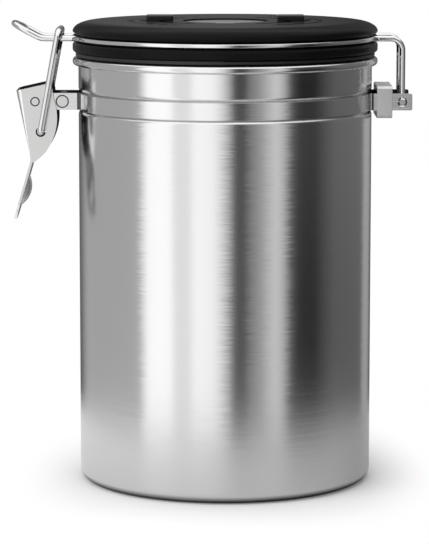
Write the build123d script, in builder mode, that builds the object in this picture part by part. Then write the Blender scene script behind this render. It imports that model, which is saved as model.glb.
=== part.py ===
from build123d import *
from math import atan2, cos, degrees, radians, sin, sqrt, tan
import os

# Coffee canister with a wire-hinged lid, an over-centre latch and a one-way valve.
# Millimetres. The origin is the middle of the foot, +Z is up, the latch is at -X, the hinge at +X
# and the front at -Y. A stand is a distance out from the body's skin, and an inset one inward.

# Driving dimensions of the canister
body_radius = 60.0
rim_height = 174.3
body_wall = 0.8
foot_radius = 4.4
curl_width = 3.1
curl_height = 3.3
curl_bend = 1.45
curl_gap = 0.7

# Pressed ring under the base, which stiffens it
emboss_inset = 13.0
emboss_width = 6.0
emboss_depth = 0.6
press_bend = 1.2

# Band seat, band and flanges
seat_depth = 1.0
seat_margin = 1.1
seat_slope = 1.2
band_drop = 17.9
band_height = 6.8
band_sheet = 0.9
band_bend = 1.3
latch_flange_end = 3.3
hinge_flange_offset = 11.55
hinge_flange_margin = 4.05
flange_corner = 0.7

# Fits: within one body, between pieces that turn or slide, and between pieces that only pass
seat_gap = 0.05
running_gap = 0.1
free_gap = 0.3
overrun = 1.0

# Clip round the hinge flanges
clip_stand = 1.55
clip_length = 6.25
clip_height = 13.1
clip_sheet = 0.9
clip_corner = 1.6

# Rivet that spaces the latch flanges
band_rivet_stand = 6.3
band_rivet_radius = 2.6
band_rivet_collar = 3.2

# Latch lever, measured from its pivot
pivot_stand = 17.3
lever_width = 20.0
lever_sheet = 1.0
lever_depth = 16.6
lever_height = 32.6
handle_length = 25.7
handle_lean = 16.5
handle_bend = 2.0
handle_corner = 7.0
pivot_radius = 1.85
dimple_radius = 6.5
dimple_height = 2.5
dimple_place_share = 0.53
cheek_top_left_shares = (-0.464, 0.1365)
cheek_top_right_shares = (0.404, 0.236)
cheek_shoulder_shares = (0.458, 0.034)
cheek_belly_shares = (0.536, -0.212)
cheek_heel_shares = (0.187, -0.667)
cheek_neck_shares = (-0.042, -0.764)
web_foot_shares = (-0.1205, -0.730)

# Latch bail
bail_wire = 2.9
bail_play = 0.6
bail_hole_drop = 12.3
bail_hole_forward = 2.2
bail_lean = 10.55
bail_top_bend = 3.6
bail_end_bend = 1.55
bail_end_length = 2.4
bail_side_gap = 0.5

# Lid wire
lid_wire_size = 2.4
wire_ring_bend = 4.0
hinge_stand = 11.9
hinge_corner_bend = 4.75
hinge_leg_gap = 0.15
hinge_end_bend = 1.3
hinge_tip_radius = 1.55
hinge_tip_length = 1.6
hinge_tip_chamfer = 0.4
hinge_play = 0.4
loop_half_width = 8.0
loop_start_stand = 15.0
loop_stand = 26.0
loop_rise = 27.8
loop_bend = 8.0
loop_end_bend = 7.0

# Lid: heights are measured up from the rim
lid_gap = 0.3
gasket_height = 1.8
gasket_stand = 1.1
gasket_width = 3.3
gasket_round = 0.5
lid_stand = 2.3
lid_ring_height = 4.0
lid_ring_round = 1.2
lid_groove_height = 3.2
lid_neck_inset = 1.0
lid_cap_height = 5.2
lid_cap_edge = 1.1
lid_cap_corner = 1.0
lid_shoulder = 8.3
lid_wall = 2.0
cap_wall = 2.2
plug_depth = 6.0
plug_straight = 1.5
plug_side_gap = 3.2
plug_taper = 3.5
plug_floor = 1.6

# Valve in the middle of the lid
cover_seat_width = 5.0
cover_side_gap = 0.4
cover_sheet = 0.6
cover_depth = 0.55
vent_width = 7.3
vent_length = 3.0
vent_depth = 0.3
valve_radius = 12.5
valve_wall = 1.5
valve_flange_width = 3.0
valve_flange_height = 1.5
valve_head = 2.0
valve_plate_height = 6.7
valve_plate_thickness = 2.0
valve_port_radius = 1.5
valve_port_inset = 3.0
valve_port_count = 6
flap_side_gap = 3.0
flap_thickness = 0.8
flap_travel = 0.6
flap_stem_radius = 1.0
flap_bulb_radius = 1.9
flap_bulb_height = 1.0
filter_thickness = 0.6
retainer_floor = 1.2
retainer_rim = 2.2
retainer_rim_width = 1.2
retainer_hole_radius = 1.1
retainer_ring_shares = (0.3091, 0.6)
retainer_ring_counts = (6, 12)
seal_width = 1.8
seal_thickness = 0.8
boss_wall = 3.0

# Date sliders
slider_stand_off = 9.2
slider_length = 11.0
slider_width = 9.0
slider_height = 2.3
slider_round = 0.6
slider_stem = 2.0
slider_play = 0.4
pointer_length = 2.7
pointer_width = 3.4
pointer_thickness = 0.4
keeper_length = 7.0
keeper_width = 6.0
keeper_thickness = 0.9
month_turn_back = 50.0
month_turn_forward = 60.0
day_turn = 60.0

# Lid screws
screw_inset = 8.5
screw_count = 4
screw_radius = 1.45
screw_play = 0.25
screw_head_radius = 2.9
screw_head_height = 1.4
screw_bite = 1.9
pillar_wall = 0.6

# Places that follow from the sizes above
inner_radius = body_radius - body_wall
emboss_outer_radius = body_radius - emboss_inset
emboss_inner_radius = emboss_outer_radius - emboss_width
seat_radius = body_radius - seat_depth
seat_height = band_height + 2 * seat_margin
band_centre = rim_height - band_drop
band_radius = seat_radius + seat_gap + band_sheet / 2
band_foot = band_centre - band_height / 2
clip_start = body_radius + clip_stand
band_rivet_reach = body_radius + band_rivet_stand
pivot_reach = body_radius + pivot_stand
pivot = (-pivot_reach, band_centre)
latch_flange_tip = pivot_reach + latch_flange_end
cheek_inside = lever_width / 2 - lever_sheet
latch_flange_offset = cheek_inside - free_gap - band_sheet / 2
bail_hole_radius = bail_wire / 2 + bail_play
bail_hole = (pivot[0] + bail_hole_forward, pivot[1] - bail_hole_drop)
bail_side = lever_width / 2 + bail_side_gap + bail_wire / 2
hinge_leg = hinge_flange_offset - band_sheet / 2 - hinge_leg_gap - lid_wire_size / 2
hinge_reach = body_radius + hinge_stand
hinge_axis = (hinge_reach, band_centre)
hinge_flange_end = hinge_reach + hinge_flange_margin
hinge_hole_radius = hinge_tip_radius + hinge_play
loop_start = body_radius + loop_start_stand
loop_reach = body_radius + loop_stand

lid_foot = rim_height + lid_gap
ring_foot = lid_foot + gasket_height
ring_top = ring_foot + lid_ring_height
cap_foot = ring_top + lid_groove_height
cap_top = cap_foot + lid_cap_height
wire_height = (ring_top + cap_foot) / 2
gasket_radius = body_radius + gasket_stand
lid_radius = body_radius + lid_stand
lid_flat_radius = lid_radius - lid_shoulder
lid_neck_radius = body_radius - lid_neck_inset
wire_ring_radius = lid_neck_radius + free_gap + lid_wire_size / 2
plug_top_radius = inner_radius - plug_side_gap
plug_foot_radius = plug_top_radius - plug_taper
screw_circle = plug_foot_radius - screw_inset
screw_hole_radius = screw_radius + seat_gap
screw_pass_radius = screw_radius + screw_play
pillar_radius = screw_head_radius + free_gap + pillar_wall
plug_foot = rim_height - plug_depth
floor_top = plug_foot + plug_floor
cap_ceiling = cap_top - cap_wall
cavity_radius = lid_neck_radius - lid_wall
cover_top = cap_top - cover_depth
cover_seat = cover_top - cover_sheet - seat_gap
cover_recess_radius = valve_radius + cover_seat_width
cover_radius = cover_recess_radius - cover_side_gap
slider_circle = cover_recess_radius + slider_stand_off
slot_width = slider_stem + slider_play
valve_hole_radius = valve_radius + free_gap
valve_flange_radius = valve_radius + valve_flange_width
flange_foot = floor_top + seal_thickness + 2 * seat_gap
plate_foot = plug_foot + valve_plate_height
plate_top = plate_foot + valve_plate_thickness
valve_bore = valve_radius - valve_wall
flap_radius = valve_bore - flap_side_gap
valve_port_circle = flap_radius - valve_port_inset
bail_top = wire_height + (lid_wire_size + bail_wire) / 2 + free_gap + seat_gap
bail_rise = bail_top - bail_hole[1]


def on_circle(radius, angle, centre=(0, 0)):
    """Point of a circle, by its angle in degrees."""
    return centre[0] + radius * cos(radians(angle)), centre[1] + radius * sin(radians(angle))


def flare(radius, offset, bend):
    """Centre of a bend that leads from a circle round the origin to a line that runs out along X."""
    return sqrt((radius + bend) ** 2 - (offset + bend) ** 2), offset + bend


def circles(part, radius, height):
    """Circular edges of one radius at one height."""
    reach = overrun / 100
    return part.edges().filter_by(GeomType.CIRCLE).filter_by(
        lambda edge: abs(edge.radius - radius) < reach and abs(edge.arc_center.Z - height) < reach)


def rod(radius, length, at, height, mode=Mode.ADD):
    """Round bar along Y through a point of the XZ plane."""
    with Locations((at, 0, height)):
        Cylinder(radius, length, rotation=(90, 0, 0), mode=mode)


# Canister: one drawn sheet, drawn here along its inner skin from the base to the curl at the rim
emboss_run = emboss_depth
with BuildPart() as canister_body:
    with BuildSketch(Plane.XZ):
        with BuildLine():
            FilletPolyline(
                (0, body_wall),
                (emboss_inner_radius, body_wall),
                (emboss_inner_radius + emboss_run, body_wall + emboss_depth),
                (emboss_outer_radius - emboss_run, body_wall + emboss_depth),
                (emboss_outer_radius, body_wall),
                (inner_radius, body_wall),
                (inner_radius, band_centre - seat_height / 2 - seat_slope / 2),
                (inner_radius - seat_depth, band_centre - seat_height / 2 + seat_slope / 2),
                (inner_radius - seat_depth, band_centre + seat_height / 2 - seat_slope / 2),
                (inner_radius, band_centre + seat_height / 2 + seat_slope / 2),
                (inner_radius, rim_height - curl_bend),
                radius=[
                    press_bend, press_bend, press_bend, press_bend, foot_radius - body_wall,
                    press_bend, press_bend, press_bend, press_bend,
                ],
            )
            offset(amount=body_wall, side=Side.RIGHT)
        make_face()
        with Locations((inner_radius, rim_height)):
            RectangleRounded(curl_width, curl_height, curl_bend, align=(Align.MIN, Align.MAX))
        with Locations((body_radius, rim_height - body_wall)):
            RectangleRounded(
                curl_width - 2 * body_wall,
                curl_height - 2 * body_wall,
                curl_bend - body_wall,
                align=(Align.MIN, Align.MAX),
                mode=Mode.SUBTRACT,
            )
        with Locations((body_radius, rim_height - curl_height)):
            Rectangle(curl_gap, curl_bend, align=(Align.MIN, Align.MIN), mode=Mode.SUBTRACT)
    revolve()
canister_body.part.label = "canister_body"


def strap_edge(shift):
    """One face of the front strap in plan, from the latch flange round the front to the hinge flange."""
    radius = band_radius + shift
    bend = band_bend - shift
    latch_side = latch_flange_offset + shift
    hinge_side = hinge_flange_offset + shift
    latch_bend = flare(radius, latch_side, bend)
    hinge_bend = flare(radius, hinge_side, bend)
    latch_angle = degrees(atan2(latch_bend[1], latch_bend[0]))
    hinge_angle = degrees(atan2(hinge_bend[1], hinge_bend[0]))
    Line((-latch_flange_tip, -latch_side), (-latch_bend[0], -latch_side))
    CenterArc((-latch_bend[0], -latch_bend[1]), bend, 90, latch_angle - 90)
    CenterArc((0, 0), radius, 180 + latch_angle, 180 - latch_angle - hinge_angle)
    CenterArc((hinge_bend[0], -hinge_bend[1]), bend, 180 - hinge_angle, hinge_angle - 90)
    Line((hinge_bend[0], -hinge_side), (hinge_flange_end, -hinge_side))


with BuildPart() as front_band:
    with BuildSketch(Plane.XY.offset(band_foot)):
        with BuildLine():
            strap_edge(band_sheet / 2)
            strap_edge(-band_sheet / 2)
            Line(
                (-latch_flange_tip, -latch_flange_offset - band_sheet / 2),
                (-latch_flange_tip, -latch_flange_offset + band_sheet / 2),
            )
            Line(
                (hinge_flange_end, -hinge_flange_offset - band_sheet / 2),
                (hinge_flange_end, -hinge_flange_offset + band_sheet / 2),
            )
        make_face()
    extrude(amount=band_height)
    flange_ends = front_band.edges().filter_by(Axis.Y).group_by(Axis.X)
    fillet(flange_ends[0], radius=latch_flange_end - running_gap)
    fillet(flange_ends[-1], radius=flange_corner)
    rod(pivot_radius - lever_sheet / 2 + seat_gap, lever_width, pivot[0], pivot[1], Mode.SUBTRACT)
    rod(band_rivet_radius + seat_gap, lever_width, -band_rivet_reach, band_centre, Mode.SUBTRACT)
    rod(hinge_hole_radius, 2 * hinge_flange_offset + overrun, hinge_axis[0], hinge_axis[1], Mode.SUBTRACT)
front_band.part.label = "front_band"

with BuildPart() as rear_band:
    mirror(front_band.part, about=Plane.XZ)
rear_band.part.label = "rear_band"

clip_width = 2 * (hinge_flange_offset + band_sheet / 2 + running_gap + clip_sheet)
with BuildPart() as band_clip:
    with BuildSketch(Plane.YZ.offset(clip_start)):
        with Locations((0, band_centre)):
            RectangleRounded(clip_width, clip_height, clip_corner)
            RectangleRounded(
                clip_width - 2 * clip_sheet,
                clip_height - 2 * clip_sheet,
                clip_corner - clip_sheet,
                mode=Mode.SUBTRACT,
            )
    extrude(amount=clip_length)
band_clip.part.label = "band_clip"

latch_flange_inside = latch_flange_offset - band_sheet / 2
latch_flange_outside = latch_flange_offset + band_sheet / 2
with BuildPart() as band_rivet:
    rod(band_rivet_radius, 2 * latch_flange_outside, -band_rivet_reach, band_centre)
    rod(band_rivet_collar, 2 * (latch_flange_inside - seat_gap), -band_rivet_reach, band_centre)
band_rivet.part.label = "band_rivet"

lever_rivet_length = lever_width + running_gap
with BuildPart() as lever_rivet:
    rod(pivot_radius, lever_rivet_length, pivot[0], pivot[1])
    chamfer(lever_rivet.edges().filter_by(GeomType.CIRCLE), length=lever_sheet / 4)
    with BuildSketch(Plane.XZ):
        with Locations(pivot):
            Circle(pivot_radius + running_gap)
            Circle(pivot_radius - lever_sheet / 2, mode=Mode.SUBTRACT)
    extrude(amount=latch_flange_outside + seat_gap, both=True, mode=Mode.SUBTRACT)
lever_rivet.part.label = "lever_rivet"


def lever_point(shares):
    """Point of the lever's side view, from its shares of the lever's depth and height."""
    return pivot[0] + shares[0] * lever_depth, pivot[1] + shares[1] * lever_height


web_top = lever_point(cheek_top_left_shares)
web_foot = lever_point(web_foot_shares)
cheek_top_right = lever_point(cheek_top_right_shares)
cheek_shoulder = lever_point(cheek_shoulder_shares)
cheek_heel = lever_point(cheek_heel_shares)
cheek_neck = lever_point(cheek_neck_shares)
handle_run = (-sin(radians(handle_lean)), -cos(radians(handle_lean)))
handle_end = (web_foot[0] + handle_run[0] * handle_length, web_foot[1] + handle_run[1] * handle_length)
dimple_reach = handle_length * dimple_place_share
dimple_face = (
    web_foot[0] + handle_run[0] * dimple_reach - handle_run[1] * lever_sheet,
    web_foot[1] + handle_run[1] * dimple_reach + handle_run[0] * lever_sheet,
)
# The dimple's plane: its X runs along the handle and its Y points to the canister
dimple_plane = Plane(
    origin=(dimple_face[0], 0, dimple_face[1]),
    x_dir=(handle_run[0], 0, handle_run[1]),
    z_dir=(0, -1, 0),
)
dimple_axis = Axis(dimple_plane.origin, dimple_plane.y_dir)


def dimple(radius, base, top, mode):
    """Low dome on the handle, turned about the line that stands square to the handle."""
    crown = top - base
    sphere = (radius ** 2 + crown ** 2) / (2 * crown)
    half = degrees(atan2(radius, sphere - crown)) / 2
    with BuildSketch(dimple_plane) as profile:
        with BuildLine():
            Line((0, base), (radius, base))
            ThreePointArc((radius, base), on_circle(sphere, 90 - half, (0, top - sphere)), (0, top))
            Line((0, top), (0, base))
        make_face()
    revolve(profile.sketch, axis=dimple_axis, mode=mode)


web_lean = degrees(atan2(web_foot[0] - web_top[0], web_top[1] - web_foot[1]))
web_slope = Plane(
    origin=(web_top[0], 0, web_top[1]),
    x_dir=(cos(radians(web_lean)), 0, sin(radians(web_lean))),
    z_dir=(0, -1, 0),
)
with BuildPart() as latch_lever:
    with BuildSketch(Plane.XZ):
        with BuildLine():
            Polyline(web_top, cheek_top_right, cheek_shoulder)
            ThreePointArc(cheek_shoulder, lever_point(cheek_belly_shares), cheek_heel)
            Polyline(cheek_heel, cheek_neck, web_foot, web_top)
        make_face()
    extrude(amount=lever_width / 2, both=True)
    with BuildSketch(Plane.XZ):
        with BuildLine():
            FilletPolyline(web_top, web_foot, handle_end, radius=handle_bend)
            offset(amount=lever_sheet, side=Side.LEFT)
        make_face()
    extrude(amount=lever_width / 2, both=True)
    handle_sides = latch_lever.edges().filter_by(GeomType.LINE).filter_by(
        lambda edge: abs(edge.center().Y) > lever_width / 2 - seat_gap)
    fillet(handle_sides.sort_by(Axis.Z)[:2], radius=handle_corner)
    with BuildSketch(web_slope):
        with Locations((lever_sheet, 0)):
            Rectangle(lever_depth, 2 * lever_height, align=(Align.MIN, Align.CENTER))
    extrude(amount=cheek_inside, both=True, mode=Mode.SUBTRACT)
    dimple(dimple_radius, 0, dimple_height, Mode.ADD)
    dimple(dimple_radius - lever_sheet / 2, -lever_sheet, dimple_height - lever_sheet, Mode.SUBTRACT)
    rod(pivot_radius + running_gap, lever_width, pivot[0], pivot[1], Mode.SUBTRACT)
    rod(bail_hole_radius, lever_width, bail_hole[0], bail_hole[1], Mode.SUBTRACT)
latch_lever.part.label = "latch_lever"


def bent_wire(size, points, bends, label):
    """Half of a wire, from its middle at Y = 0 to its end, swept and mirrored across the XZ plane."""
    with BuildPart() as wire:
        with BuildLine() as route:
            FilletPolyline(*points, radius=bends)
        with BuildSketch(Plane(origin=points[0], z_dir=(0, -1, 0))):
            Circle(size / 2)
        sweep(path=route.line)
        mirror(about=Plane.XZ)
    wire.part.label = label
    return wire


# Latch bail: from the middle of its bar, down one leg and into the lever's hole
bail_lean_run = bail_rise * tan(radians(bail_lean))
bail_end = bail_side - lever_width / 2 + bail_end_length
latch_bail = bent_wire(
    bail_wire,
    [
        (bail_hole[0] + bail_lean_run, 0, bail_top),
        (bail_hole[0] + bail_lean_run, -bail_side, bail_top),
        (bail_hole[0], -bail_side, bail_hole[1]),
        (bail_hole[0], -bail_side + bail_end, bail_hole[1]),
    ],
    [bail_top_bend, bail_end_bend],
    "latch_bail",
)

# Lid wire: the loop at the latch, the ring in the lid's groove and the legs at the hinge
loop_bend_out = flare(wire_ring_radius, loop_half_width, wire_ring_bend)
leg_bend_out = flare(wire_ring_radius, hinge_leg, wire_ring_bend)
loop_angle = degrees(atan2(loop_bend_out[1], loop_bend_out[0]))
leg_angle = degrees(atan2(leg_bend_out[1], leg_bend_out[0]))
loop_end_height = wire_height + (loop_reach - loop_start) * tan(radians(loop_rise))
hinge_tip = hinge_flange_offset - band_sheet / 2 + running_gap
with BuildPart() as lid_wire:
    with BuildLine() as wire_route:
        FilletPolyline(
            (-loop_reach, 0, loop_end_height),
            (-loop_reach, -loop_half_width, loop_end_height),
            (-loop_start, -loop_half_width, wire_height),
            (-loop_bend_out[0], -loop_half_width, wire_height),
            radius=[loop_end_bend, loop_bend],
        )
        loop_bend_centre = (-loop_bend_out[0], -loop_bend_out[1], wire_height)
        CenterArc(loop_bend_centre, wire_ring_bend, 90, loop_angle - 90)
        CenterArc((0, 0, wire_height), wire_ring_radius, 180 + loop_angle, 180 - loop_angle - leg_angle)
        CenterArc(
            (leg_bend_out[0], -leg_bend_out[1], wire_height),
            wire_ring_bend,
            180 - leg_angle,
            leg_angle - 90,
        )
        FilletPolyline(
            (leg_bend_out[0], -hinge_leg, wire_height),
            (hinge_reach, -hinge_leg, wire_height),
            (hinge_reach, -hinge_leg, band_centre),
            (hinge_reach, -hinge_tip - seat_gap, band_centre),
            radius=[hinge_corner_bend, hinge_end_bend],
        )
    with BuildSketch(Plane(origin=(-loop_reach, 0, loop_end_height), z_dir=(0, -1, 0))):
        Circle(lid_wire_size / 2)
    sweep(path=wire_route.line)
    with BuildSketch(Plane.XZ.offset(hinge_tip)):
        with Locations(hinge_axis):
            Circle(hinge_tip_radius)
    extrude(amount=hinge_tip_length)
    hinge_tip_rim = lid_wire.edges().filter_by(GeomType.CIRCLE).filter_by(
        lambda edge: abs(edge.radius - hinge_tip_radius) < seat_gap)
    chamfer(hinge_tip_rim.sort_by(Axis.Y)[0], length=hinge_tip_chamfer)
    mirror(about=Plane.XZ)
lid_wire.part.label = "lid_wire"

# Lid cap: rounded black top with the valve's recess, the vent, the slider slots and the screw bosses
vent_reach = cover_recess_radius + vent_length
screw_places = PolarLocations(screw_circle, screw_count, start_angle=180 / screw_count)
with BuildPart() as lid_cap:
    with BuildSketch(Plane.XZ):
        with BuildLine():
            EllipticalCenterArc(
                (lid_flat_radius, cap_foot + lid_cap_edge),
                lid_radius - lid_flat_radius,
                lid_cap_height - lid_cap_edge,
                start_angle=0,
                arc_size=90,
            )
            Polyline((lid_flat_radius, cap_top), (0, cap_top), (0, cap_ceiling))
            Polyline((0, cap_ceiling), (cavity_radius, cap_ceiling), (cavity_radius, cap_foot))
            Polyline(
                (cavity_radius, cap_foot),
                (lid_radius - lid_cap_corner, cap_foot),
                (lid_radius, cap_foot + lid_cap_edge),
            )
        make_face()
    revolve()
    with BuildSketch(Plane.XY.offset(cap_foot)):
        Circle(valve_hole_radius + boss_wall)
        with screw_places:
            Circle(pillar_radius)
    extrude(amount=cap_ceiling - cap_foot)
    with BuildSketch(Plane.XY.offset(cap_top)):
        Circle(cover_recess_radius)
    extrude(amount=cover_seat - cap_top, mode=Mode.SUBTRACT)
    with BuildSketch(Plane.XY.offset(cap_top)):
        Circle(valve_hole_radius)
    extrude(amount=cap_foot - cap_top, mode=Mode.SUBTRACT)
    with BuildSketch(Plane.XY.offset(cap_top)):
        Rectangle(vent_width, vent_reach, align=(Align.CENTER, Align.MAX))
    extrude(amount=cover_seat - vent_depth - cap_top, mode=Mode.SUBTRACT)
    with BuildSketch(Plane.XY.offset(cap_top)):
        with BuildLine(mode=Mode.PRIVATE):
            month_arc = CenterArc(
                (0, 0), slider_circle, 180 - month_turn_back, month_turn_back + month_turn_forward)
            day_arc = CenterArc((0, 0), slider_circle, -day_turn, 2 * day_turn)
        SlotArc(month_arc, slot_width)
        SlotArc(day_arc, slot_width)
    extrude(amount=-cap_wall, mode=Mode.SUBTRACT)
    with BuildSketch(Plane.XY.offset(cap_foot)):
        with screw_places:
            Circle(screw_hole_radius)
    extrude(amount=cap_ceiling - cap_foot, mode=Mode.SUBTRACT)
lid_cap.part.label = "lid_cap"

# Lid base: lower ring, neck for the wire and tapered plug, hollow above its floor
with BuildPart() as lid_base:
    with BuildSketch(Plane.XZ):
        with BuildLine():
            Polyline(
                (0, plug_foot),
                (plug_foot_radius, plug_foot),
                (plug_top_radius, rim_height - plug_straight),
                (plug_top_radius, ring_foot - gasket_height),
                (gasket_radius - gasket_width - seat_gap, ring_foot - gasket_height),
                (gasket_radius - gasket_width - seat_gap, ring_foot),
                (lid_radius, ring_foot),
                (lid_radius, ring_top),
                (lid_neck_radius, ring_top),
                (lid_neck_radius, cap_foot - seat_gap),
                (cavity_radius, cap_foot - seat_gap),
                (cavity_radius, ring_foot + lid_wall),
                (plug_top_radius - lid_wall, rim_height),
                (plug_top_radius - lid_wall, rim_height - plug_straight),
                (plug_foot_radius - lid_wall, floor_top),
                (0, floor_top),
                (0, plug_foot),
            )
        make_face()
    revolve()
    fillet(circles(lid_base, lid_radius, ring_foot) + circles(lid_base, lid_radius, ring_top),
           radius=lid_ring_round)
    fillet(circles(lid_base, plug_foot_radius, plug_foot), radius=plug_floor / 2)
    with BuildSketch(Plane.XY.offset(floor_top)):
        with screw_places:
            Circle(pillar_radius)
    extrude(amount=cap_foot - seat_gap - floor_top)
    with BuildSketch(Plane.XY.offset(plug_foot)):
        Circle(valve_hole_radius)
        with screw_places:
            Circle(screw_pass_radius)
    extrude(amount=cap_foot - plug_foot, mode=Mode.SUBTRACT)
    with BuildSketch(Plane.XY.offset(plug_foot)):
        with screw_places:
            Circle(screw_head_radius + free_gap)
    extrude(amount=screw_head_height + free_gap, mode=Mode.SUBTRACT)
lid_base.part.label = "lid_base"

with BuildPart() as lid_gasket:
    with BuildSketch(Plane.XZ):
        with Locations((gasket_radius, lid_foot)):
            Rectangle(gasket_width, gasket_height - seat_gap, align=(Align.MAX, Align.MIN))
    revolve()
    fillet(circles(lid_gasket, gasket_radius, lid_foot)
           + circles(lid_gasket, gasket_radius, ring_foot - seat_gap), radius=gasket_round)
lid_gasket.part.label = "lid_gasket"

screw_seat = plug_foot + screw_head_height + free_gap
with BuildPart() as lid_screws:
    with BuildSketch(Plane.XY.offset(screw_seat - seat_gap)):
        with screw_places:
            Circle(screw_head_radius)
    extrude(amount=-screw_head_height)
    with BuildSketch(Plane.XY.offset(screw_seat - seat_gap)):
        with screw_places:
            Circle(screw_radius)
    extrude(amount=cap_foot + screw_bite - screw_seat)
lid_screws.part.label = "lid_screws"

# Valve, from the steel cover down to the grid under the filter
with BuildPart() as valve_cover:
    with BuildSketch(Plane.XY.offset(cover_top - cover_sheet)):
        Circle(cover_radius)
    extrude(amount=cover_sheet)
    fillet(circles(valve_cover, cover_radius, cover_top), radius=cover_sheet / 2)
valve_cover.part.label = "valve_cover"

valve_top = cover_seat - valve_head
with BuildPart() as valve_body:
    with BuildSketch(Plane.XY.offset(plug_foot)):
        Circle(valve_radius)
    extrude(amount=valve_top - plug_foot)
    with BuildSketch(Plane.XY.offset(flange_foot)):
        Circle(valve_flange_radius)
    extrude(amount=valve_flange_height)
    with BuildSketch(Plane.XY.offset(plug_foot)):
        Circle(valve_bore)
    extrude(amount=valve_plate_height, mode=Mode.SUBTRACT)
    with BuildSketch(Plane.XY.offset(plate_top)):
        Circle(valve_bore)
    extrude(amount=valve_top - plate_top, mode=Mode.SUBTRACT)
    with BuildSketch(Plane.XY.offset(plate_foot)):
        Circle(flap_stem_radius + free_gap)
        with PolarLocations(valve_port_circle, valve_port_count):
            Circle(valve_port_radius)
    extrude(amount=valve_plate_thickness, mode=Mode.SUBTRACT)
valve_body.part.label = "valve_body"

# The flap rests on the plate and its bulb hangs under it, with room to lift
flap_foot = plate_top + running_gap
bulb_top = plate_foot - flap_travel - free_gap
with BuildPart() as valve_flap:
    with BuildSketch(Plane.XY.offset(flap_foot)):
        Circle(flap_radius)
    extrude(amount=flap_thickness)
    with BuildSketch(Plane.XY.offset(flap_foot)):
        Circle(flap_stem_radius)
    extrude(amount=bulb_top - flap_foot)
    with BuildSketch(Plane.XY.offset(bulb_top)):
        Circle(flap_bulb_radius)
    extrude(amount=-flap_bulb_height, taper=30)
valve_flap.part.label = "valve_flap"

with BuildPart() as valve_seal:
    with BuildSketch(Plane.XY.offset(floor_top + seat_gap)):
        Circle(valve_flange_radius - seat_gap)
        Circle(valve_flange_radius - seat_gap - seal_width, mode=Mode.SUBTRACT)
    extrude(amount=seal_thickness)
valve_seal.part.label = "valve_seal"

retainer_top = plug_foot + retainer_rim
with BuildPart() as valve_filter:
    with BuildSketch(Plane.XY.offset(retainer_top + seat_gap)):
        Circle(valve_bore - running_gap)
    extrude(amount=filter_thickness)
valve_filter.part.label = "valve_filter"

with BuildPart() as valve_retainer:
    with BuildSketch(Plane.XY.offset(plug_foot)):
        Circle(valve_bore - seat_gap)
    extrude(amount=retainer_rim)
    with BuildSketch(Plane.XY.offset(plug_foot + retainer_floor)):
        Circle(valve_bore - seat_gap - retainer_rim_width)
    extrude(amount=retainer_rim - retainer_floor, mode=Mode.SUBTRACT)
    with BuildSketch(Plane.XY.offset(plug_foot)):
        Circle(retainer_hole_radius)
        for ring_share, ring_count in zip(retainer_ring_shares, retainer_ring_counts):
            with PolarLocations(valve_bore * ring_share, ring_count):
                Circle(retainer_hole_radius)
    extrude(amount=retainer_floor, mode=Mode.SUBTRACT)
valve_retainer.part.label = "valve_retainer"

# Date sliders: a block and its pointer on the cap, a stem through the slot and a keeper under it
slider_foot = cap_top + running_gap
keeper_top = cap_ceiling - running_gap
stem_foot = keeper_top - keeper_thickness


def date_slider(angle, label):
    """Raised block with a pointer, at one angle round the lid's axis."""
    with BuildPart() as slider:
        with BuildSketch(Plane.XY.offset(slider_foot)):
            with PolarLocations(slider_circle, 1, start_angle=angle):
                RectangleRounded(slider_length, slider_width, slider_round)
        extrude(amount=slider_height)
        fillet(slider.faces().sort_by(Axis.Z)[-1].edges(), radius=slider_round)
        with BuildSketch(Plane.XY.offset(slider_foot)):
            with PolarLocations(slider_circle + slider_length / 2, 1, start_angle=angle):
                Polygon(
                    (-slider_round, -pointer_width / 2),
                    (pointer_length, 0),
                    (-slider_round, pointer_width / 2),
                    align=None,
                )
        extrude(amount=pointer_thickness)
        with BuildSketch(Plane.XY.offset(slider_foot)):
            with PolarLocations(slider_circle, 1, start_angle=angle):
                Circle(slider_stem / 2)
        extrude(amount=stem_foot - slider_foot)
    slider.part.label = label
    return slider


def slider_keeper(angle, label):
    """Clip that is pushed on a slider's stem under the cap."""
    with BuildPart() as keeper:
        with BuildSketch(Plane.XY.offset(stem_foot)):
            with PolarLocations(slider_circle, 1, start_angle=angle):
                RectangleRounded(keeper_length, keeper_width, slider_round)
                Circle(slider_stem / 2 + seat_gap, mode=Mode.SUBTRACT)
        extrude(amount=keeper_thickness)
    keeper.part.label = label
    return keeper


month_slider = date_slider(180, "month_slider")
day_slider = date_slider(0, "day_slider")
month_keeper = slider_keeper(180, "month_keeper")
day_keeper = slider_keeper(0, "day_keeper")

pieces = (
    canister_body, front_band, rear_band, band_clip, band_rivet, lever_rivet, latch_lever, latch_bail,
    lid_wire, lid_cap, lid_base, lid_gasket, lid_screws, valve_cover, valve_body, valve_flap, valve_seal,
    valve_filter, valve_retainer, month_slider, day_slider, month_keeper, day_keeper,
)
os.makedirs("parts", exist_ok=True)
for piece in pieces:
    export_step(piece.part, f"parts/{piece.part.label}.step")
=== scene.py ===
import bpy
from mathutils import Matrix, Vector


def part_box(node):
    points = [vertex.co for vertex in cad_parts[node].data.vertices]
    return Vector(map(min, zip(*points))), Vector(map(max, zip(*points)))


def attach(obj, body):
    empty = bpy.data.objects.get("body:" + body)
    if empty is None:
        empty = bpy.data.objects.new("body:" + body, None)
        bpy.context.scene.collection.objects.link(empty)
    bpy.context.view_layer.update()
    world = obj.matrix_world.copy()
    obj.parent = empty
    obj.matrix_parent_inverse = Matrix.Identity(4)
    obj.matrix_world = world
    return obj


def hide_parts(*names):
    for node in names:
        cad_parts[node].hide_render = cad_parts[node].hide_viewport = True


bl_info = {
    "name": "Coffee canister",
    "version": (1, 0, 0),
    "blender": (4, 5, 0),
    "location": "View3D > Sidebar > Canister",
    "description": "Dresses the packed coffee canister and sets up its studio",
    "category": "Object",
}

from math import atan2, cos, degrees, pi, radians, sin, sqrt, tan

import bpy
from mathutils import Matrix, Vector

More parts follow.
